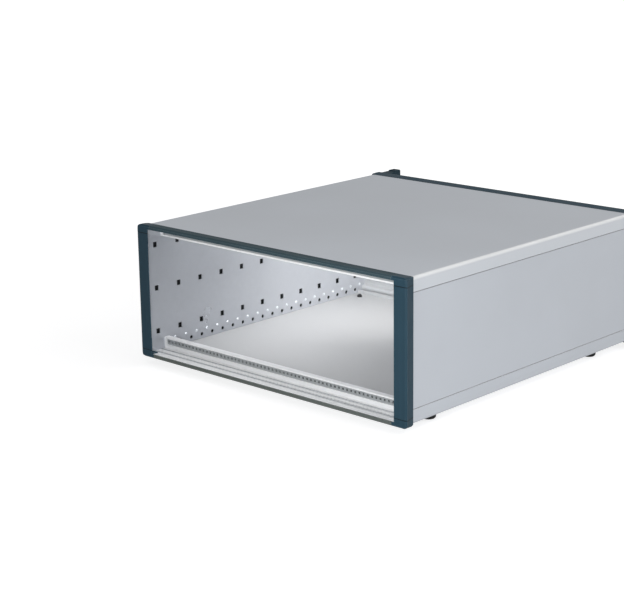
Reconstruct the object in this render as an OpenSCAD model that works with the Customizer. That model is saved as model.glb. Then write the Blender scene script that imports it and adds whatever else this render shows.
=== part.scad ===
// Desktop case for plug-in modules: two moulded frames, folded covers, rails and perforated side plates.
// X runs to the right, Y from the front to the back, Z up. The origin is under the middle of the case.

/* [Bay] */
// Width of one slot unit
slot_pitch = 5.08; // [5:0.01:5.2]
// Slot units across the bay
slots = 63; // [41:2:83]
// Clear height of the bay
bay_h = 129; // [120:1:150]

/* [Covers] */
// Length of the covers between the frames
cover_l = 338; // [308:30:428]
// Thickness of the cover sheets
sheet_t = 1.2; // [1:0.1:1.5]
// Outer bend radius of the covers
bend_r = 3; // [2.5:0.1:3.2]
// Height of the folded lips at the sides
lip_h = 13.7; // [12:0.1:16]
// Bay's side to the outer face of the side panel
wall_w = 11.3; // [11:0.1:14]
// Bay's upper edge to the top of the cover
rim_h = 2.7; // [2.5:0.1:4]
// Width of the seam between a side panel and a cover lip
seam = 0.3; // [0.1:0.1:0.6]
// Length of the side panel's tongue behind a cover lip
tongue_l = 4; // [2:0.5:4.5]

/* [Frames] */
// Depth of each frame, front to back
frame_d = 13; // [13:0.5:20]
// How far a frame stands out at the sides
flare = 3.7; // [1:0.1:6]
// How far a frame stands out at top and bottom
rise = 1.3; // [0.5:0.1:3]
// Step between the frame's edge and the covers
frame_step = 0.2; // [0.1:0.1:0.4]
// Rounding of the frame's corners
corner_r = 5; // [3:0.5:6]
// Chamfer of the frame's upper and lower edges
edge_z = 1.6; // [0.5:0.1:2]
// Chamfer of the frame's side edges
edge_x = 2; // [0.5:0.1:2.5]
// Reach of a corner moulding along the trim, past the bay's side
corner_arm_x = 3; // [2:0.5:12]
// Reach of a corner moulding down the post, past the bay's edge
corner_arm_z = 4.2; // [2:0.1:12]
// Length of a corner moulding's tongue behind the post
spigot_l = 12; // [6:1:20]
// Thickness of that tongue
spigot_t = 1.6; // [1:0.1:2]
// Thickness of the front wall of posts and corners
post_t = 2; // [1.5:0.1:2.4]
// Thickness of that wall's edge at the bay
post_edge = 0.8; // [0.6:0.1:1.2]
// Depth of the slot that takes the side plate's edge
slot_d = 8.6; // [6:0.1:8.8]
// Height of a front corner's tab over the apron
tab_h = 0.9; // [0.5:0.1:3]
// Height of a rear corner's tab, which takes the bumper's screw
screw_tab_h = 3.4; // [3.3:0.1:3.6]
// Length of that tab from the frame's outer face
tab_l = 8; // [7.8:0.1:9]

/* [Side plates] */
// Thickness of the side plates
plate_t = 1; // [0.8:0.1:1.1]
// Bay's side to the inner face of the side plate
plate_x = 8; // [7.9:0.1:8.2]
// First column of holes, from the front
grid_y = 17; // [16.5:0.5:19]
// Pitch of the round holes
grid_pitch = 15; // [15:1:15]
// Width of the square holes
square_w = 5; // [3:0.1:6]
// Height of the square holes
square_h = 5.5; // [3:0.1:7]
// Distance between the rows of square holes
square_rows = 45; // [35:1:48]
// Diameter of the round holes
round_d = 3.8; // [3.6:0.1:4.4]
// Rows of round holes, from the bay's edge
round_q = 3.25; // [3:0.05:3.6]
// Rows of pips, from the bay's edge
pip_q = 8.5; // [8:0.1:10]
// Diameter of a pip
pip_d = 3.8; // [2.5:0.1:4.5]
// Height of a pip
pip_h = 0.8; // [0.3:0.1:0.9]

/* [Rails] */
// Front plane of a rail, from the outer face of its frame
rail_y = 25; // [22:0.5:27]
// Height of a rail above the bay's edge
rail_h = 11.6; // [11.5:0.1:14]
// Thickness of a rail's upright
rail_t = 6.2; // [6:0.1:8]
// Length of a rail's foot from its front plane
rail_foot = 17; // [15:0.5:20]
// Thickness of the apron in front of a rail
apron_t = 1; // [0.8:0.1:1.2]
// Front edge of the apron, behind the frame's outer face
apron_y = 1.6; // [1.2:0.1:4]
// Number of grooves in the apron
apron_grooves = 4; // [0:1:5]
// Middle of the threaded strip, from the bay's edge
strip_q = 7.2; // [7.1:0.1:7.4]
// Height of the opening in front of the strip
strip_open = 5.8; // [4:0.1:6]
// Height of the strip
strip_h = 6.6; // [6.4:0.1:6.6]
// Thickness of the strip
strip_t = 2.2; // [1.6:0.1:2.4]
// Diameter of the threaded holes
strip_hole_d = 2.5; // [2:0.1:2.5]
// Diameter of the rail screws
rail_screw_d = 3.3; // [2.5:0.1:3.4]

/* [Rear panel] */
// Thickness of the rear panel
panel_t = 2.5; // [1.5:0.1:3]
// Diameter of the panel screws
panel_screw_d = 2.4; // [1.6:0.1:2.4]
// Diameter of the panel screws' heads
panel_head_d = 4.6; // [4:0.1:5.5]

/* [Feet] */
// Height of a foot
foot_h = 7.5; // [5:0.5:15]
// Diameter of a foot
foot_d = 16; // [12:0.5:20]
// Middle of a foot, from the bay's side
foot_x = 5; // [3:0.5:30]
// Middle of a foot, from the frame's outer face
foot_y = 54; // [53:1:90]
// Diameter of a foot's rivet
rivet_d = 4; // [3:0.1:4.5]
// Height of a rivet's end above the floor
rivet_h = 3; // [1:0.1:4]

/* [Rear bumpers] */
// Length of a bumper behind the rear frame
bumper_l = 25.5; // [18:0.5:40]
// Width of a bumper
bumper_w = 9.4; // [8.5:0.1:11]
// Height of a bumper
bumper_h = 14; // [12:0.5:20]
// Bay's side to the inner face of a bumper
bumper_x = 1.6; // [0.5:0.1:2]
// Height of the hook at a bumper's end
hook_h = 1.2; // [0.5:0.1:4]
// Length of that hook
hook_l = 10; // [6:0.5:12]
// Diameter of the bumper screws
bumper_screw_d = 3.2; // [2.5:0.1:3.4]

/* [Hidden] */
$fn = 48;
fit = 0.1;
joint = 1;
left = -1;
right = 1;
low = -1;
high = 1;
front = 0;
rear = 1;
bay_x = slots * slot_pitch / 2;
bay_z = bay_h / 2;
cover_x = bay_x + wall_w;
cover_z = bay_z + rim_h;
frame_x = cover_x + flare;
frame_z = cover_z + rise;
case_l = cover_l + 2 * frame_d;
total_l = case_l + bumper_l;
base_z = cover_z + foot_h;
inner_z = cover_z - sheet_t;
floor_q = rim_h - sheet_t;
lip_z = cover_z - lip_h;
post_end_z = bay_z - corner_arm_z;
trim_end_x = bay_x - corner_arm_x;
side_plate_x = bay_x + plate_x;
side_plate_z = inner_z - 2 * fit;
hollow_x = side_plate_x + plate_t + fit;
slot_depth_y = frame_d - slot_d;
spigot_in = 3;
spigot_root = 3;
grid_n = round((case_l - 2 * grid_y) / grid_pitch);
rail_screw_y = grid_y + grid_pitch;
rail_boss_r = rail_screw_d / 2 + 1.7;
strip_n = slots + 2;
strip_l = strip_n * slot_pitch / 2;
groove_lip = 1.2;
strip_y = rail_y + groove_lip;
relief_h = 3.6;
relief_d = 1.7;
rail_foot_t = 0.5;
rail_hook_t = 1.2;
rail_hook_h = 2.5;
scribe_q = 0.3;
scribe_w = 0.5;
apron_groove_w = 1;
apron_groove_d = 0.5;
rail_screw_l = 12;
rail_head_d = 6;
rail_head_h = 0.9;
panel_y = rail_y - panel_t;
strip_holes = [for (i = [0 : strip_n - 1]) (i - (strip_n - 1) / 2) * slot_pitch];
panel_screw_x = [for (i = [1, floor(slots / 3), slots - floor(slots / 3) + 1, slots]) strip_holes[i]];
bumper_mid_x = bay_x + bumper_x + bumper_w / 2;
bumper_top_z = cover_z;
bumper_screw_x = bay_x + 5.2;
bumper_screw_z = bay_z - 1;
bumper_head_r = bumper_screw_d / 2 + 1.3;
bumper_head_h = 2;
bumper_seat_y = 10;
bumper_screw_in = 7;
bumper_r = 0.8;
bumper_cut = 3;
bumper_nose = 1;
panel_head_h = 1.6;
panel_screw_end = 2;
foot_recess = 3.5;
foot_edge = 1;
rivet_flange = 0.7;
rivet_gap = 1.5;

// Carries a piece drawn for the front, the right and the top to its own end, side and level.
module at(end = front, side = right, level = high) {
    translate([0, -total_l / 2 + end * case_l, base_z])
        mirror([0, end, 0])
            mirror([side == left ? 1 : 0, 0, 0])
                mirror([0, 0, level == low ? 1 : 0])
                    children();
}

// Extrudes a front view, drawn in X and Z, from y0 to y1.
module along_y(y0, y1) {
    translate([0, y1, 0]) rotate([90, 0, 0]) linear_extrude(y1 - y0) children();
}

// Extrudes a side view, drawn in Y and Z, from x0 to x1.
module along_x(x0, x1) {
    translate([x0, 0, 0]) rotate([90, 0, 90]) linear_extrude(x1 - x0) children();
}

// A box given by its lowest and highest corners.
module block(a, b) {
    translate(a) cube(b - a);
}

// A rectangle with round corners, centred, given by its half sizes.
module round_rect(hx, hz, r) {
    translate([-hx, r - hz]) square([2 * hx, 2 * (hz - r)]);
    translate([r - hx, -hz]) square([2 * (hx - r), 2 * hz]);
    for (sx = [-1, 1], sz = [-1, 1]) translate([sx * (hx - r), sz * (hz - r)]) circle(r);
}

// Frames

// The ring that one frame is cut from: flared to the front, with round corners.
module frame_ring() {
    difference() {
        intersection() {
            along_y(0, frame_d) round_rect(frame_x, frame_z, corner_r);
            translate([0, 0, -frame_z]) linear_extrude(2 * frame_z) frame_plan();
            along_x(-frame_x, frame_x) frame_side();
        }
        block([-bay_x, -joint, -bay_z], [bay_x, frame_d + joint, bay_z]);
        block([-bay_x, apron_y, -bay_z - apron_t], [bay_x, frame_d + joint, bay_z + apron_t]);
        block([-hollow_x, tab_l, -bay_z - apron_t], [hollow_x, frame_d + joint, bay_z + apron_t]);
        translate([0, 0, -bay_z]) linear_extrude(2 * bay_z) hollow_plan();
        for (s = [left, right]) plate_slot(s);
    }
}

// Plan of the flare at the sides.
module frame_plan() {
    back = cover_x + frame_step;
    polygon([[-frame_x + edge_x, 0], [frame_x - edge_x, 0], [frame_x, 0.4 * edge_x], [back, frame_d],
        [-back, frame_d], [-frame_x, 0.4 * edge_x]]);
}

// Plan of the hollow behind the front walls, which thin out towards the bay.
module hollow_plan() {
    step_x = bay_x + 1.25 * (post_t - post_edge);
    polygon([[-bay_x, post_edge], [bay_x, post_edge], [step_x, post_t], [hollow_x, post_t],
        [hollow_x, frame_d + joint], [-hollow_x, frame_d + joint], [-hollow_x, post_t], [-step_x, post_t]]);
}

// Side view of the flare at top and bottom.
module frame_side() {
    back = cover_z + frame_step;
    polygon([[0, -frame_z + edge_z], [edge_z, -frame_z], [frame_d, -back], [frame_d, back],
        [edge_z, frame_z], [0, frame_z - edge_z]]);
}

// Slot at the back of the frame for the edge of a side plate.
module plate_slot(s) {
    x0 = side_plate_x - fit;
    x1 = side_plate_x + plate_t + fit;
    z1 = side_plate_z + fit;
    block([min(s * x0, s * x1), slot_depth_y, -z1], [max(s * x0, s * x1), frame_d + joint, z1]);
}

module trim() {
    color("#4b5c62") intersection() {
        frame_ring();
        block([-trim_end_x, -joint, bay_z], [trim_end_x, frame_d + joint, frame_z + joint]);
    }
}

module post() {
    color("#324b5a") intersection() {
        frame_ring();
        block([bay_x, -joint, -post_end_z], [frame_x + joint, frame_d + joint, post_end_z]);
    }
}

// A corner moulding's tongue behind the post, and its tab over the apron.
module corner_tongue(tab) {
    x0 = bay_x + spigot_in;
    x1 = side_plate_x - 4 * fit;
    y1 = post_t + fit + spigot_t;
    block([x0, post_t + fit, post_end_z - spigot_l], [x1, y1, post_end_z + spigot_root]);
    block([x0, post_t / 2, post_end_z + fit], [x1, y1, post_end_z + spigot_root]);
    block([bay_x, post_t / 2, bay_z - tab], [side_plate_x - fit, tab_l, bay_z + apron_t]);
}

// A corner moulding of the frame.
module corner(end) {
    color("#37505f") difference() {
        union() {
            intersection() {
                frame_ring();
                difference() {
                    block([trim_end_x, -joint, post_end_z],
                        [frame_x + joint, frame_d + joint, frame_z + joint]);
                    block([0, -2 * joint, 0], [bay_x, frame_d + 2 * joint, bay_z]);
                }
            }
            corner_tongue(end == front ? tab_h : screw_tab_h);
        }
        if (end == rear) translate([bumper_screw_x, -joint, bumper_screw_z]) rotate([-90, 0, 0])
            cylinder(h = bumper_screw_in + 2 * joint, d = bumper_screw_d + fit);
    }
}

// Rear bumpers

// A bumper with the hook that a wound cable lies behind.
module bumper() {
    color("#2b3a42") difference() {
        intersection() {
            along_x(bumper_mid_x - bumper_w / 2, bumper_mid_x + bumper_w / 2) bumper_side();
            translate([bumper_mid_x, 0, bumper_top_z + hook_h - bumper_h]) along_y(-bumper_l, 0)
                round_rect(bumper_w / 2, bumper_h, bumper_r);
        }
        translate([bumper_screw_x, 0, bumper_screw_z]) rotate([90, 0, 0]) {
            translate([0, 0, -joint]) cylinder(h = bumper_l + 2 * joint, d = bumper_screw_d + 4 * fit);
            translate([0, 0, bumper_seat_y]) cylinder(h = bumper_l, r = bumper_head_r + 2 * fit);
        }
    }
}

module bumper_side() {
    z0 = bumper_top_z - bumper_h;
    z1 = bumper_top_z + hook_h;
    polygon([[0, z0], [0, bumper_top_z], [hook_l - bumper_l, bumper_top_z],
        [hook_l - bumper_l - hook_h, z1], [bumper_nose - bumper_l, z1], [-bumper_l, z1 - bumper_nose],
        [-bumper_l, z0 + bumper_cut], [bumper_cut - bumper_l, z0]]);
}

// Covers and side panels

// Folded sheet with a lip along each side.
module cover() {
    along_y(frame_d, frame_d + cover_l) difference() {
        round_rect(cover_x, cover_z, bend_r);
        round_rect(cover_x - sheet_t, inner_z, bend_r - sheet_t);
        translate([-frame_x, lip_z - 2 * frame_z]) square([2 * frame_x, 2 * frame_z]);
    }
}

module top_cover() {
    color("#a6a9ae") at() cover();
}

module bottom_cover() {
    color("#c3c7cc") difference() {
        at(level = low) cover();
        for (e = [front, rear], s = [left, right])
            at(end = e, side = s, level = low) foot_axis()
                cylinder(h = 4 * sheet_t, d = rivet_d + fit, center = true);
    }
}

// Side panel: a flat skin with a tongue behind each cover lip.
module side_panel() {
    color("#c4c8ce") along_y(frame_d, frame_d + cover_l) {
        skin_z = lip_z - seam;
        skin_x = cover_x - sheet_t;
        tongue_x = side_plate_x + plate_t + fit / 2;
        translate([skin_x, -skin_z]) square([sheet_t, 2 * skin_z]);
        for (s = [-1, 1]) translate([tongue_x, s * skin_z - tongue_l])
            square([skin_x - tongue_x - fit / 2, 2 * tongue_l]);
        for (s = [-1, 1]) translate([tongue_x, s * (skin_z - tongue_l / 2) - tongue_l / 2])
            square([skin_x - tongue_x + sheet_t / 2, tongue_l]);
    }
}

// Side plates

// Perforated inner plate with a row of pressed pips at top and bottom.
module side_plate() {
    z1 = side_plate_z;
    y0 = slot_depth_y + fit;
    color("#b4b9c1") difference() {
        union() {
            block([side_plate_x, y0, -z1], [side_plate_x + plate_t, case_l - y0, z1]);
            pips(side_plate_x + joint / 4, pip_h + joint / 4, pip_d / 2);
        }
        pips(side_plate_x + plate_t + joint / 10, pip_h + joint / 10, pip_d / 2 - plate_t / 2);
        for (i = [0 : 2 : grid_n], k = [-1 : 1])
            translate([side_plate_x + plate_t / 2, grid_y + i * grid_pitch, k * square_rows])
                cube([2 * plate_t, square_w, square_h], center = true);
        for (i = [1 : grid_n - 1], s = [-1, 1])
            translate([side_plate_x - joint, grid_y + i * grid_pitch, s * (bay_z - round_q)])
                rotate([0, 90, 0]) cylinder(h = plate_t + 2 * joint, d = round_d);
    }
}

// Cones that stand towards the bay, half a pitch from the round holes.
module pips(x, h, r) {
    for (i = [1 : grid_n - 2], s = [-1, 1]) translate([x, grid_y + (i + 0.5) * grid_pitch,
        s * (bay_z - pip_q)]) rotate([0, -90, 0]) cylinder(h = h, r1 = r, r2 = 0.5 * r);
}

// Rails and threaded strips. Their profiles are drawn upwards from the bay's edge.

// Profile of a rail: apron, upright with the strip's groove, foot and screw boss.
module rail_profile() {
    difference() {
        union() {
            translate([apron_y, -apron_t]) square([rail_y + joint - apron_y, apron_t]);
            translate([rail_y, -floor_q]) square([rail_t, floor_q + rail_h]);
            translate([rail_y, -floor_q]) square([rail_foot, floor_q + rail_foot_t]);
            translate([rail_y + rail_foot - rail_hook_t, -floor_q])
                square([rail_hook_t, floor_q + rail_hook_h]);
            translate([rail_screw_y, round_q]) circle(rail_boss_r);
        }
        translate([rail_y - joint, strip_q - strip_open / 2]) square([joint + 2 * groove_lip, strip_open]);
        translate([strip_y, strip_q - strip_h / 2 - fit / 2]) square([strip_t + fit, strip_h + fit]);
        translate([strip_y, strip_q - relief_h / 2]) square([strip_t + relief_d, relief_h]);
        translate([rail_y - joint, scribe_q]) square([joint + scribe_w, scribe_w]);
        translate([rail_screw_y, round_q]) circle(d = rail_screw_d + fit);
        for (i = [1 : 1 : apron_grooves])
            translate([apron_y + i * (rail_y - apron_y) / (apron_grooves + 1), -apron_groove_d])
                square([apron_groove_w, joint]);
    }
}

// A rail, with closed ends in front of the strip and its apron cut round the frame's tabs.
module rail() {
    color("#dfe2e4") mirror([0, 0, 1]) translate([0, 0, -bay_z]) {
        difference() {
            along_x(-side_plate_x, side_plate_x) rail_profile();
            for (s = [-1, 1]) translate([s * (bay_x - fit + side_plate_x / 2), (tab_l + fit) / 2, 0])
                cube([side_plate_x, tab_l + fit, 4 * floor_q], center = true);
        }
        for (x = [-side_plate_x, strip_l + fit]) translate([x, rail_y, strip_q - strip_open / 2 - fit])
            cube([side_plate_x - strip_l - fit, groove_lip, strip_open + 2 * fit]);
    }
}

// Strip of threaded holes at one slot unit's pitch.
module strip() {
    z = bay_z - strip_q;
    color("#9aa0a4") difference() {
        block([-strip_l, strip_y + fit / 2, z - strip_h / 2],
            [strip_l, strip_y + fit / 2 + strip_t, z + strip_h / 2]);
        for (x = strip_holes) translate([x, strip_y - joint, z]) rotate([-90, 0, 0])
            cylinder(h = strip_t + 3 * joint, d = strip_hole_d);
    }
}

// Rear panel

module rear_panel() {
    x = bay_x - 2 * fit;
    z = bay_z - 3 * fit;
    color("#c8ccd0") at(end = rear) difference() {
        block([-x, panel_y, -z], [x, rail_y, z]);
        for (px = panel_screw_x, s = [-1, 1]) translate([px, panel_y - joint, s * (bay_z - strip_q)])
            rotate([-90, 0, 0]) cylinder(h = panel_t + 2 * joint, d = panel_screw_d + 3 * fit);
    }
}

// Feet

// Brings a foot's upright axis to its place on the underside.
module foot_axis() {
    translate([bay_x - foot_x, foot_y, cover_z]) children();
}

// Rubber foot, a turned piece with a recess for the rivet's head.
module foot() {
    r = foot_d / 2;
    bore = rivet_d / 2 + fit / 2;
    seat = foot_h - foot_recess;
    color("#17191c") foot_axis() rotate_extrude() polygon([[bore, 0], [r, 0],
        [r - foot_edge, foot_h - foot_edge], [r - 2 * foot_edge, foot_h], [rivet_d, foot_h],
        [rivet_d, seat], [bore, seat]]);
}

// Rivet that holds a foot, drawn upside down as the foot is.
module rivet() {
    r = rivet_d / 2;
    wide = r + rivet_flange;
    seat = foot_h - foot_recess;
    foot_axis() rotate_extrude() polygon([[0, -sheet_t - rivet_h], [r * 0.6, -sheet_t - rivet_h],
        [wide, -sheet_t - rivet_h * 0.6], [wide, -sheet_t], [r, -sheet_t], [r, seat],
        [rivet_d - fit, seat], [rivet_d - 5 * fit, foot_h - rivet_gap - 2 * fit], [0, foot_h - rivet_gap]]);
}

module foot_rivets() {
    color("#101113") for (e = [front, rear], s = [left, right]) at(end = e, side = s, level = low) rivet();
}

// Screws

// Screw with a low head, along +Z, its head's underside at zero.
module screw(d, l, head_d, head_h) {
    difference() {
        union() {
            translate([0, 0, -l]) cylinder(h = l, d = d);
            cylinder(h = head_h, d1 = head_d, d2 = head_d - head_h);
        }
        translate([0, 0, head_h * 0.4]) for (a = [0, 90]) rotate(a) translate([-head_d / 4, -head_d / 14, 0])
            cube([head_d / 2, head_d / 7, head_h]);
    }
}

module rail_screws() {
    color("#8f949a") for (e = [front, rear], s = [left, right], v = [low, high])
        at(end = e, side = s, level = v)
            translate([side_plate_x + plate_t, rail_screw_y, bay_z - round_q]) rotate([0, 90, 0])
                screw(rail_screw_d, rail_screw_l, rail_head_d, rail_head_h);
}

module panel_screws() {
    color("#b9bdc1") for (x = panel_screw_x, v = [low, high]) at(end = rear, level = v)
        translate([x, panel_y, bay_z - strip_q]) rotate([90, 0, 0])
            screw(panel_screw_d, panel_t + strip_t + panel_screw_end, panel_head_d, panel_head_h);
}

module bumper_screws() {
    color("#8f949a") for (s = [left, right], v = [low, high]) at(end = rear, side = s, level = v)
        translate([bumper_screw_x, -bumper_seat_y, bumper_screw_z]) rotate([90, 0, 0])
            screw(bumper_screw_d, bumper_seat_y + bumper_screw_in, 2 * bumper_head_r, bumper_head_h);
}

at() trim();  // front_trim_top
at(level = low) trim();  // front_trim_bottom
at(side = left) post();  // front_post_left
at(side = right) post();  // front_post_right
at(side = left) corner(front);  // front_corner_top_left
at(side = right) corner(front);  // front_corner_top_right
at(side = left, level = low) corner(front);  // front_corner_bottom_left
at(side = right, level = low) corner(front);  // front_corner_bottom_right
at(rear) trim();  // rear_trim_top
at(rear, level = low) trim();  // rear_trim_bottom
at(rear, left) post();  // rear_post_left
at(rear, right) post();  // rear_post_right
at(rear, left) corner(rear);  // rear_corner_top_left
at(rear, right) corner(rear);  // rear_corner_top_right
at(rear, left, low) corner(rear);  // rear_corner_bottom_left
at(rear, right, low) corner(rear);  // rear_corner_bottom_right
at(rear, left) bumper();  // rear_bumper_top_left
at(rear, right) bumper();  // rear_bumper_top_right
at(rear, left, low) bumper();  // rear_bumper_bottom_left
at(rear, right, low) bumper();  // rear_bumper_bottom_right
top_cover();
bottom_cover();
at(side = left) side_panel();  // side_panel_left
at(side = right) side_panel();  // side_panel_right
at(side = left) side_plate();  // side_plate_left
at(side = right) side_plate();  // side_plate_right
at() rail();  // front_rail_top
at(level = low) rail();  // front_rail_bottom
at(rear) rail();  // rear_rail_top
at(rear, level = low) rail();  // rear_rail_bottom
at() strip();  // front_strip_top
at(level = low) strip();  // front_strip_bottom
at(rear) strip();  // rear_strip_top
at(rear, level = low) strip();  // rear_strip_bottom
rear_panel();
at(front, left, low) foot();  // foot_front_left
at(front, right, low) foot();  // foot_front_right
at(rear, left, low) foot();  // foot_rear_left
at(rear, right, low) foot();  // foot_rear_right
foot_rivets();
rail_screws();
panel_screws();
bumper_screws();
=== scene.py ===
import math

import bpy
import numpy as np
from mathutils import Matrix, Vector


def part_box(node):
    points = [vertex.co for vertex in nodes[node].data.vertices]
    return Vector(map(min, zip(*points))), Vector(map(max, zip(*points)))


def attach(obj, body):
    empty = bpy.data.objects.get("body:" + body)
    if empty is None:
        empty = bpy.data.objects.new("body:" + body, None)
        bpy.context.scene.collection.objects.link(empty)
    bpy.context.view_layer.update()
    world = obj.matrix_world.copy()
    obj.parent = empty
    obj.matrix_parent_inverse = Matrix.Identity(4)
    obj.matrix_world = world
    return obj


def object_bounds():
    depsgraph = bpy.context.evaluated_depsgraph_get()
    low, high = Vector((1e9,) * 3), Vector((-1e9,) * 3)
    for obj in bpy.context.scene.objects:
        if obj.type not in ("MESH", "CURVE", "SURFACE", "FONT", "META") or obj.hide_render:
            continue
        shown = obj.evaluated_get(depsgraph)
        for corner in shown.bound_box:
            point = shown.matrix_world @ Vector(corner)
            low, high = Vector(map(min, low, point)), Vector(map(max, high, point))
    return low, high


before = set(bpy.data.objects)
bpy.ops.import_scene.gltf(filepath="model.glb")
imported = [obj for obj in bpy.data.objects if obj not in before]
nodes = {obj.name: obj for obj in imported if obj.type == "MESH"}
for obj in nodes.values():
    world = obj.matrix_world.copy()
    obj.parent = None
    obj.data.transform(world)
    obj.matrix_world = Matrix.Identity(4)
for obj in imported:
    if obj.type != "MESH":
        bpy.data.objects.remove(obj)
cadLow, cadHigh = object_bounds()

print("stage 1: frame loaded,", len(nodes), "nodes")


# Helpers for meshes and materials

def meshPiece(name, points, faces, material, smooth=True, slot=None):
    mesh = bpy.data.meshes.new(name)
    mesh.from_pydata(points.tolist(), [], faces.tolist())
    mesh.validate()
    mesh.update()
    mesh.shade_smooth() if smooth else mesh.shade_flat()
    piece = bpy.data.objects.new(name, mesh)
    bpy.context.scene.collection.objects.link(piece)
    mesh.materials.append(material)
    if slot:
        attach(piece, "root")
    return piece


def newMaterial(name, colour, roughness, metallic=0.0, specular=0.5):
    material = bpy.data.materials.new(name)
    material.use_nodes = True
    shader = material.node_tree.nodes["Principled BSDF"]
    shader.inputs["Base Color"].default_value = (*colour, 1)
    shader.inputs["Roughness"].default_value = roughness
    shader.inputs["Metallic"].default_value = metallic
    shader.inputs["Specular IOR Level"].default_value = specular
    return material, material.node_tree, shader


def addNode(tree, kind, inputs=(), **settings):
    node = tree.nodes.new(kind)
    for key, value in settings.items():
        setattr(node, key, value)
    for key, value in dict(inputs).items():
        if isinstance(value, bpy.types.NodeSocket):
            tree.links.new(value, node.inputs[key])
        else:
            node.inputs[key].default_value = value
    return node


def placeOn(tree, stretch=(1, 1, 1)):  # object coordinates, stretched along an axis
    coords = addNode(tree, "ShaderNodeTexCoord")
    mapping = addNode(tree, "ShaderNodeMapping", {"Vector": coords.outputs["Object"], "Scale": stretch})
    return mapping.outputs["Vector"]


def noise(tree, vector, scale, detail=3.0, rough=0.55):
    node = addNode(tree, "ShaderNodeTexNoise", {"Vector": vector, "Scale": scale, "Detail": detail, "Roughness": rough})
    return node.outputs["Fac"]


def ramp(tree, value, low, high, fromLow, fromHigh):
    node = addNode(tree, "ShaderNodeMapRange", {"Value": value, "From Min": low, "From Max": high,
                                                "To Min": fromLow, "To Max": fromHigh})
    return node.outputs["Result"]


def tint(tree, factor, first, second):
    node = addNode(tree, "ShaderNodeMix", data_type="RGBA")
    tree.links.new(factor, node.inputs[0])
    for key, value in ((6, first), (7, second)):
        if isinstance(value, bpy.types.NodeSocket):
            tree.links.new(value, node.inputs[key])
        else:
            node.inputs[key].default_value = (*value, 1)
    return node.outputs[2]


def bumpFrom(tree, height, distance, strength=1.0, normal=None):
    node = addNode(tree, "ShaderNodeBump", {"Height": height, "Distance": distance, "Strength": strength})
    if normal:
        tree.links.new(normal, node.inputs["Normal"])
    return node.outputs["Normal"]


def softEdge(tree, radius):  # normal that rolls over an edge, as a broken edge does
    return addNode(tree, "ShaderNodeBevel", {"Radius": radius}, samples=6).outputs["Normal"]


def edgeMask(tree, radius, full=0.8):  # 0 on flats, rising to 1 at an edge
    geometry = addNode(tree, "ShaderNodeNewGeometry")
    rolled = softEdge(tree, radius)
    dot = addNode(tree, "ShaderNodeVectorMath", {0: geometry.outputs["Normal"], 1: rolled}, operation="DOT_PRODUCT")
    return ramp(tree, dot.outputs["Value"], 0.9993, full, 0.0, 1.0)


def axisValue(tree, axis):  # one object coordinate, without its sign
    coords = addNode(tree, "ShaderNodeTexCoord")
    split = addNode(tree, "ShaderNodeSeparateXYZ", {"Vector": coords.outputs["Object"]})
    return addNode(tree, "ShaderNodeMath", {0: split.outputs[axis]}, operation="ABSOLUTE").outputs[0]


def between(tree, value, low, high):  # 1 where the value lies between the two, else 0
    above = addNode(tree, "ShaderNodeMath", {0: value, 1: low}, operation="GREATER_THAN").outputs[0]
    below = addNode(tree, "ShaderNodeMath", {0: value, 1: high}, operation="LESS_THAN").outputs[0]
    return addNode(tree, "ShaderNodeMath", {0: above, 1: below}, operation="MULTIPLY").outputs[0]


# Camera, at the photo's viewing angle

camera = dict(place=(1.0647, cadLow.y - 1.0608, 0.4935), yaw=43.355, pitch=14.898, roll=-0.822, focalPixels=1668.7,
              imageWidth=624)


def makeCamera(c):
    data = bpy.data.cameras.new("camera")
    data.sensor_width = 36
    data.lens = c["focalPixels"] / c["imageWidth"] * data.sensor_width
    data.clip_start, data.clip_end = 0.05, 60
    obj = bpy.data.objects.new("camera", data)
    turn = [math.radians(c[k]) for k in ("yaw", "pitch", "roll")]
    obj.matrix_world = (Matrix.Translation(c["place"]) @ Matrix.Rotation(turn[0], 4, "Z")
                        @ Matrix.Rotation(math.pi / 2 - turn[1], 4, "X") @ Matrix.Rotation(turn[2], 4, "Z"))
    bpy.context.scene.collection.objects.link(obj)
    bpy.context.scene.camera = obj


makeCamera(camera)
print("stage 2: camera")

# Places on the CAD pieces that the finishes go by
sheetThickness = 0.0012
apronThickness = 0.001
pipHeight = 0.0008
coverLow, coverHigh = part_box("bottom_cover")
plateLow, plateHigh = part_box("side_plate_right")
railLow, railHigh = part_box("front_rail_bottom")
topLow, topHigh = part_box("top_cover")
caseLength = 0.364
topRailLow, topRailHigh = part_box("front_rail_top")
plateInner = plateLow.x + pipHeight
plateOuter = plateHigh.x
floorTop = coverLow.z + sheetThickness
middleZ = (railLow.z + topRailHigh.z) / 2
bayHalf = (topRailHigh.z - railLow.z) / 2 - 0.0015
grooveHigh = bayHalf + apronThickness - 0.0001
shadedGroovePlaces = (0.01096, 0.02032)  # grooves painted with shade as dark lines, their depth from a frame's outer face
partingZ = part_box("front_post_right")[1].z - middleZ
bendRadius = 0.003
seamOff = topLow.z - 0.0003 - middleZ


def offMiddle(tree):  # height above or below the middle of the bay, without its sign
    coords = addNode(tree, "ShaderNodeTexCoord")
    split = addNode(tree, "ShaderNodeSeparateXYZ", {"Vector": coords.outputs["Object"]})
    shifted = addNode(tree, "ShaderNodeMath", {0: split.outputs["Z"], 1: middleZ}, operation="SUBTRACT").outputs[0]
    return addNode(tree, "ShaderNodeMath", {0: shifted}, operation="ABSOLUTE").outputs[0]


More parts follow.
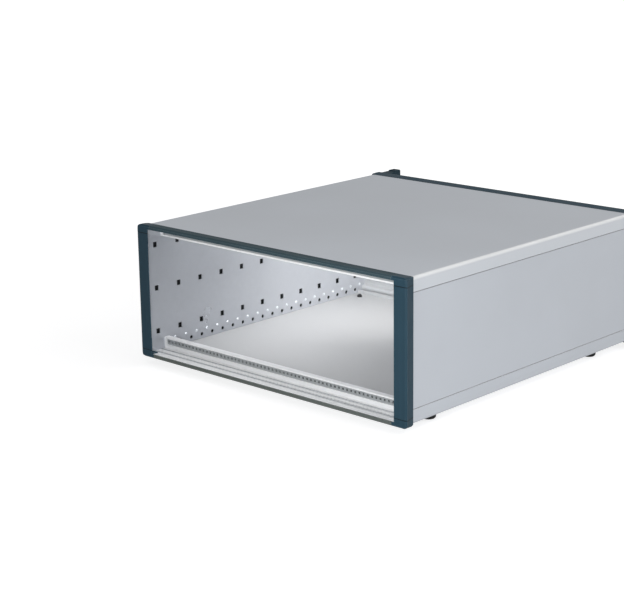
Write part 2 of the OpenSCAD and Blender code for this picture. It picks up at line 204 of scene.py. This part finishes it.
def fromEnd(tree):  # depth from the nearer of the two frames' outer faces
    coords = addNode(tree, "ShaderNodeTexCoord")
    split = addNode(tree, "ShaderNodeSeparateXYZ", {"Vector": coords.outputs["Object"]})
    middle = cadLow.y + caseLength / 2
    shifted = addNode(tree, "ShaderNodeMath", {0: split.outputs["Y"], 1: middle}, operation="SUBTRACT").outputs[0]
    distance = addNode(tree, "ShaderNodeMath", {0: shifted}, operation="ABSOLUTE").outputs[0]
    return addNode(tree, "ShaderNodeMath", {0: caseLength / 2, 1: distance}, operation="SUBTRACT").outputs[0]


def apronGrooveShade(tree):  # painted shade in the deeper grooves of the aprons
    level = between(tree, offMiddle(tree), bayHalf - 0.0002, grooveHigh)
    depth = fromEnd(tree)
    lines = [between(tree, depth, y - 0.0008, y + 0.0018) for y in shadedGroovePlaces]
    both = addNode(tree, "ShaderNodeMath", {0: lines[0], 1: lines[1]}, operation="ADD").outputs[0]
    return addNode(tree, "ShaderNodeMath", {0: level, 1: both}, operation="MULTIPLY").outputs[0]


def bendOf(tree):  # 1 along the middle of the top cover's bends, 0 where the sheet is flat: where the painted highlight goes
    coords = addNode(tree, "ShaderNodeTexCoord")
    split = addNode(tree, "ShaderNodeSeparateXYZ", {"Vector": coords.outputs["Object"]})
    across = addNode(tree, "ShaderNodeMath", {0: axisValue(tree, "X"), 1: split.outputs["Z"]}, operation="ADD").outputs[0]
    corner = coverHigh.x + topHigh.z - 2 * bendRadius
    return ramp(tree, across, corner + 0.92 * bendRadius, corner + 1.36 * bendRadius, 0, 1)


def lipOf(tree):  # the top cover's lips, down the sides, painted lighter for the light falling on them
    return between(tree, axisValue(tree, "X"), coverHigh.x - 0.0004, coverHigh.x + 0.001)


def seamOf(tree):  # the side panel's edges along the two seams, painted darker as shade
    return between(tree, offMiddle(tree), seamOff - 0.0005, seamOff + 0.0004)


def shadeBehindPlate(tree):  # what shows through the side plate's holes: painted near-black shade in the narrow gap behind the plate
    across = between(tree, axisValue(tree, "X"), plateOuter - 0.0002, coverHigh.x - 0.0003)
    inside = between(tree, offMiddle(tree), -1, bayHalf - 0.0005)
    return addNode(tree, "ShaderNodeMath", {0: across, 1: inside}, operation="MULTIPLY").outputs[0]


def onFloor(tree):  # the bottom cover's inner face
    across = between(tree, axisValue(tree, "X"), -1, plateOuter)
    level = between(tree, axisValue(tree, "Z"), floorTop - 0.0003, floorTop + 0.004)
    return addNode(tree, "ShaderNodeMath", {0: across, 1: level}, operation="MULTIPLY").outputs[0]


# Finishes

frameFinish = dict(colour=(0.021, 0.053, 0.077), wearAndHighlight=(0.10, 0.16, 0.20), roughness=0.45, grain=2600, grainDepth=0.00005,
                   specular=0.12, parting=(0.004, 0.010, 0.014), streaks=700)
trimFinish = dict(frameFinish, colour=(0.050, 0.080, 0.094), wearAndHighlight=(0.18, 0.23, 0.26), roughness=0.5, specular=0.03)
# the bottom trim's copy of the trim finish, made lighter: a painted reflection of the floor's light
litSillFinish = dict(trimFinish, colour=(0.125, 0.140, 0.130), wearAndHighlight=(0.26, 0.28, 0.27))
bumperFinish = dict(frameFinish, colour=(0.018, 0.040, 0.055), wearAndHighlight=(0.06, 0.10, 0.12), roughness=0.55)
coatFinish = dict(colour=(0.545, 0.575, 0.620), edge=(0.86, 0.88, 0.90), bend=(0.78, 0.79, 0.80), lip=(0.62, 0.65, 0.69), seam=(0.38, 0.39, 0.43), roughness=0.42, peel=700,
                  peelDepth=0.00004, fleck=3800)
floorFinish = dict(colour=(0.61, 0.61, 0.61), roughness=0.42)
gapShadeFinish = dict(colour=(0.004, 0.005, 0.006))
plateFinish = dict(colour=(0.56, 0.58, 0.62), pip=(0.80, 0.83, 0.87), roughness=0.32, metallic=0.55, grain=900)
railFinish = dict(colour=(0.97, 0.97, 0.972), roughness=0.34, metallic=0.06, lines=2600, groove=(0.50, 0.52, 0.54))
# the rear rails' copy of the rail finish, made darker: painted shade on the same drawn aluminium
shadedRearRailFinish = dict(railFinish, colour=(0.62, 0.63, 0.64))
stripFinish = dict(colour=(0.44, 0.46, 0.47), roughness=0.40, metallic=0.40, lines=1500, groove=None)
panelFinish = dict(colour=(0.60, 0.61, 0.62), roughness=0.40, metallic=0.50, lines=2200, groove=None)
rubberFinish = dict(colour=(0.010, 0.010, 0.011), roughness=0.78, grain=1800)
rivetFinish = dict(colour=(0.008, 0.008, 0.009), roughness=0.45, grain=2200)
screwFinish = dict(colour=(0.55, 0.56, 0.57), roughness=0.30, metallic=0.95, lines=3000, groove=None)


def mouldedFinish(name, f):  # satin dark paint over a fine grain, a little lighter on the edges: partly handling wear, partly a painted edge highlight
    material, tree, shader = newMaterial(name, f["colour"], f["roughness"], specular=f["specular"])
    at = placeOn(tree)
    cloud = noise(tree, at, 34, 4)
    # paler edges: handling wear together with a painted edge highlight
    wearAndHighlight = addNode(tree, "ShaderNodeMath", {0: edgeMask(tree, 0.0006, 0.95), 1: ramp(tree, cloud, 0.3, 0.7, 0.25, 0.75)},
                   operation="MULTIPLY").outputs[0]
    deep = tuple(v * 0.88 for v in f["colour"])
    streaks = noise(tree, placeOn(tree, (1, 1, 0.01)), f["streaks"], 2)
    mottle = addNode(tree, "ShaderNodeMath", {0: ramp(tree, cloud, 0.35, 0.65, 0, 0.4), 1: ramp(tree, streaks, 0.35, 0.65, 0, 0.6)},
                     operation="ADD").outputs[0]
    body = tint(tree, mottle, deep, f["colour"])
    colour = tint(tree, wearAndHighlight, body, f["wearAndHighlight"])
    parting = between(tree, offMiddle(tree), partingZ - 0.0004, partingZ + 0.0003)
    tree.links.new(tint(tree, parting, colour, f["parting"]), shader.inputs["Base Color"])
    grain = noise(tree, at, f["grain"], 2)
    tree.links.new(ramp(tree, cloud, 0.3, 0.7, f["roughness"] - 0.05, f["roughness"] + 0.06), shader.inputs["Roughness"])
    tree.links.new(bumpFrom(tree, grain, f["grainDepth"], 0.5, softEdge(tree, 0.0006)), shader.inputs["Normal"])
    return material


def coatedFinish(name, f, gapShade=None, floor=None, bend=None, seam=None, lip=None):  # powder coat with a slight peel; paler edges, partly a painted highlight; a painted highlight on the bends, lips painted lighter, painted shade at the seams and as a near-black zone behind the side plate; a plain floor zone inside
    material, tree, shader = newMaterial(name, f["colour"], f["roughness"])
    at = placeOn(tree)
    cloud = noise(tree, at, 9, 3)
    fleck = noise(tree, at, f["fleck"], 1)
    pale = tuple(min(1, v * 1.02) for v in f["colour"])
    deep = tuple(v * 0.98 for v in f["colour"])
    colour = tint(tree, ramp(tree, cloud, 0.35, 0.65, 0, 1), deep, pale)
    colour = tint(tree, ramp(tree, fleck, 0.62, 0.75, 0, 0.25), colour, tuple(v * 0.7 for v in f["colour"]))
    # paler edges: partly the bare cut edge of the sheet, partly a painted highlight
    colour = tint(tree, edgeMask(tree, 0.0006), colour, f["edge"])
    # painted shade along the side panel's seams
    if seam:
        colour = tint(tree, seam(tree), colour, f["seam"])
    # lips painted lighter: painted light from the side
    if lip:
        colour = tint(tree, lip(tree), colour, f["lip"])
    # painted highlight along the top cover's bends
    if bend:
        colour = tint(tree, bend(tree), colour, f["bend"])
    if floor:
        colour = tint(tree, floor(tree), colour, floorFinish["colour"])
    # near-black painted shade behind the side plate
    if gapShade:
        colour = tint(tree, gapShade(tree), colour, gapShadeFinish["colour"])
    tree.links.new(colour, shader.inputs["Base Color"])
    peel = noise(tree, at, f["peel"], 3)
    tree.links.new(ramp(tree, cloud, 0.3, 0.7, f["roughness"] - 0.03, f["roughness"] + 0.04), shader.inputs["Roughness"])
    tree.links.new(bumpFrom(tree, peel, f["peelDepth"], 0.35, softEdge(tree, 0.0005)), shader.inputs["Normal"])
    return material


def linedMetal(name, f, along):  # drawn, rolled or brushed metal: fine lines that run along one axis
    material, tree, shader = newMaterial(name, f["colour"], f["roughness"], f["metallic"])
    stretch = tuple(0.012 if axis == along else 1 for axis in "XYZ")
    lines = noise(tree, placeOn(tree, stretch), f["lines"], 2, 0.7)
    cloud = noise(tree, placeOn(tree), 28, 4)
    deep = tuple(v * 0.94 for v in f["colour"])
    colour = tint(tree, ramp(tree, lines, 0.3, 0.7, 0, 1), deep, f["colour"])
    # painted shade in two of the apron grooves
    if f["groove"]:
        colour = tint(tree, apronGrooveShade(tree), colour, f["groove"])
    tree.links.new(colour, shader.inputs["Base Color"])
    tree.links.new(ramp(tree, cloud, 0.3, 0.7, f["roughness"] - 0.06, f["roughness"] + 0.08), shader.inputs["Roughness"])
    tree.links.new(bumpFrom(tree, lines, 0.00001, 0.25), shader.inputs["Normal"])
    return material


def platedFinish(name, f):  # zinc-plated sheet: soft spangle over faint rolling lines; the pips get a painted glint
    material, tree, shader = newMaterial(name, f["colour"], f["roughness"], f["metallic"])
    at = placeOn(tree)
    spangle = addNode(tree, "ShaderNodeTexVoronoi", {"Vector": at, "Scale": 260.0}).outputs["Color"]
    grey = addNode(tree, "ShaderNodeRGBToBW", {"Color": spangle}).outputs["Val"]
    cloud = noise(tree, at, 16, 4)
    rolling = noise(tree, placeOn(tree, (1, 0.02, 1)), f["grain"], 2)
    deep = tuple(v * 0.93 for v in f["colour"])
    colour = tint(tree, ramp(tree, grey, 0.2, 0.8, 0, 0.35), f["colour"], deep)
    colour = tint(tree, ramp(tree, cloud, 0.35, 0.7, 0, 0.5), colour, deep)
    # pip tops painted lighter: a painted glint
    colour = tint(tree, between(tree, axisValue(tree, "X"), 0, plateInner - 0.00005), colour, f["pip"])
    tree.links.new(colour, shader.inputs["Base Color"])
    tree.links.new(ramp(tree, cloud, 0.3, 0.7, f["roughness"] - 0.05, f["roughness"] + 0.07), shader.inputs["Roughness"])
    tree.links.new(bumpFrom(tree, rolling, 0.00002, 0.3, softEdge(tree, 0.0003)), shader.inputs["Normal"])
    return material


def rubberLike(name, f):  # matt black with a fine tooth
    material, tree, shader = newMaterial(name, f["colour"], f["roughness"])
    at = placeOn(tree)
    cloud = noise(tree, at, 120, 4)
    pale = tuple(v * 2.2 for v in f["colour"])
    tree.links.new(tint(tree, ramp(tree, cloud, 0.4, 0.75, 0, 1), f["colour"], pale), shader.inputs["Base Color"])
    tree.links.new(bumpFrom(tree, noise(tree, at, f["grain"], 2), 0.00006, 0.6, softEdge(tree, 0.0005)),
                   shader.inputs["Normal"])
    return material


finishes = dict(
    frame=mouldedFinish("frameFinish", frameFinish),
    trim=mouldedFinish("trimFinish", trimFinish),
    litSill=mouldedFinish("litSillFinish", litSillFinish),
    bumper=mouldedFinish("bumperFinish", bumperFinish),
    cover=coatedFinish("coverCoat", coatFinish, shadeBehindPlate, bend=bendOf, lip=lipOf),
    bottomCover=coatedFinish("bottomCoverCoat", coatFinish, shadeBehindPlate, onFloor),
    sidePanel=coatedFinish("sidePanelCoat", coatFinish, shadeBehindPlate, seam=seamOf),
    sidePlate=platedFinish("sidePlatePlated", plateFinish),
    rail=linedMetal("railDrawn", railFinish, "X"),
    shadedRearRail=linedMetal("rearRailDrawnShaded", shadedRearRailFinish, "X"),
    strip=linedMetal("stripPlated", stripFinish, "X"),
    rearPanel=linedMetal("rearPanelAnodised", panelFinish, "X"),
    foot=rubberLike("footRubber", rubberFinish),
    rivet=rubberLike("rivetPlastic", rivetFinish),
    screws=linedMetal("screwPlated", screwFinish, "Z"),
)


def finishOf(name):
    if name in ("front_trim_top", "front_trim_bottom"):
        return "trim" if name == "front_trim_top" else "litSill"
    if "trim" in name or "post" in name or "corner" in name:
        return "frame"
    if name.endswith("screws"):
        return "screws"
    if "bumper" in name:
        return "bumper"
    for key, finish in (("top_cover", "cover"), ("bottom_cover", "bottomCover"), ("side_panel", "sidePanel"),
                        ("side_plate", "sidePlate"), ("front_rail", "rail"), ("rear_rail", "shadedRearRail"), ("_strip_", "strip"), ("rear_panel", "rearPanel"),
                        ("rivets", "rivet"), ("foot_", "foot")):
        if key in name:
            return finish


for name, obj in nodes.items():
    obj.data.materials.clear()
    obj.data.materials.append(finishes[finishOf(name)])
print("stage 3: finishes on", len(nodes), "nodes")

# Floor and light

studio = dict(floorHalf=14.0, floorColour=(0.40, 0.40, 0.405), floorGlow=0.76, floorFar=1.0, glowNear=0.4, glowFar=1.6,
              floorBounce=0.38, roomFront=0.14, roomRest=0.50)
lights = dict(
    sideBox=dict(place=(2.0, 0.4, 1.5), target=(0.17, 0, 0.07), size=(1.6, 1.6), power=18, colour=(1.0, 1.0, 1.0)),
    rimBox=dict(place=(0.55, 1.7, 1.35), target=(0.17, 0, 0.14), size=(1.4, 0.7), power=8, colour=(1.0, 1.0, 1.0)),
    frontBox=dict(place=(0.26, -0.60, 0.20), target=(0.15, -0.2, 0.06), size=(0.2, 0.2), power=1.5, colour=(0.96, 0.98, 1.0)),
    topBox=dict(place=(-0.3, -1.1, 2.0), target=(0, -0.1, 0.14), size=(1.4, 1.4), power=1.5, colour=(1.0, 1.0, 1.0)),
    bayBox=dict(place=(-0.10, -0.03, 0.136), target=(-0.10, -0.03, 0.0), size=(0.11, 0.24), power=0.155, colour=(1.0, 1.0, 1.0)),
    wallBox=dict(place=(0.12, 0.05, 0.09), target=(-0.16, 0.07, 0.05), size=(0.12, 0.04), power=0.09, spread=60,
                 colour=(1.0, 0.99, 0.97)),
)


def makeFloor(s):
    h = s["floorHalf"]
    material, tree, shader = newMaterial("paleFloor", s["floorColour"], 0.85)
    shader.inputs["Specular IOR Level"].default_value = 0.1
    coords = addNode(tree, "ShaderNodeTexCoord")
    away = addNode(tree, "ShaderNodeVectorMath", {0: coords.outputs["Object"]}, operation="LENGTH").outputs["Value"]
    glow = ramp(tree, away, s["glowNear"], s["glowFar"], s["floorGlow"], s["floorFar"])
    ray = addNode(tree, "ShaderNodeLightPath")
    glow = ramp(tree, ray.outputs["Is Camera Ray"], 0, 1, s["floorBounce"], glow)
    shader.inputs["Emission Color"].default_value = (1, 1, 1, 1)
    tree.links.new(glow, shader.inputs["Emission Strength"])
    points = np.array([(-h, -h, 0), (h, -h, 0), (h, h, 0), (-h, h, 0)], float) + np.array((0, 0, cadLow.z))
    meshPiece("floor", points, np.array([(0, 1, 2, 3)]), material, smooth=False)


def makeLight(name, s):
    data = bpy.data.lights.new(name, "AREA")
    data.shape, data.energy, data.color = "RECTANGLE", s["power"], s["colour"]
    data.size, data.size_y = s["size"]
    data.spread = math.radians(s.get("spread", 180))
    obj = bpy.data.objects.new(name, data)
    obj.visible_camera = False
    aim = (Matrix.Translation(s["target"]).translation - Matrix.Translation(s["place"]).translation)
    obj.matrix_world = Matrix.Translation(s["place"]) @ aim.to_track_quat("-Z", "Y").to_matrix().to_4x4()
    bpy.context.scene.collection.objects.link(obj)


def makeWorld(s):
    world = bpy.data.worlds.new("studio")
    bpy.context.scene.world = world
    world.use_nodes = True
    tree = world.node_tree  # the camera sees plain white, the object a dimmer room, darkest in front
    ray = addNode(tree, "ShaderNodeLightPath")
    direction = addNode(tree, "ShaderNodeTexCoord").outputs["Generated"]
    split = addNode(tree, "ShaderNodeSeparateXYZ", {"Vector": direction})
    room = ramp(tree, split.outputs["Y"], -0.9, 0.1, s["roomFront"], s["roomRest"])
    level = ramp(tree, ray.outputs["Is Camera Ray"], 0, 1, room, 1.0)
    tree.links.new(level, tree.nodes["Background"].inputs["Strength"])
    tree.nodes["Background"].inputs["Color"].default_value = (1, 1, 1, 1)
    bpy.context.scene.view_settings.view_transform = "Standard"


makeFloor(studio)
makeWorld(studio)
for name, settings in lights.items():
    makeLight(name, settings)
print("stage 4: floor and light")
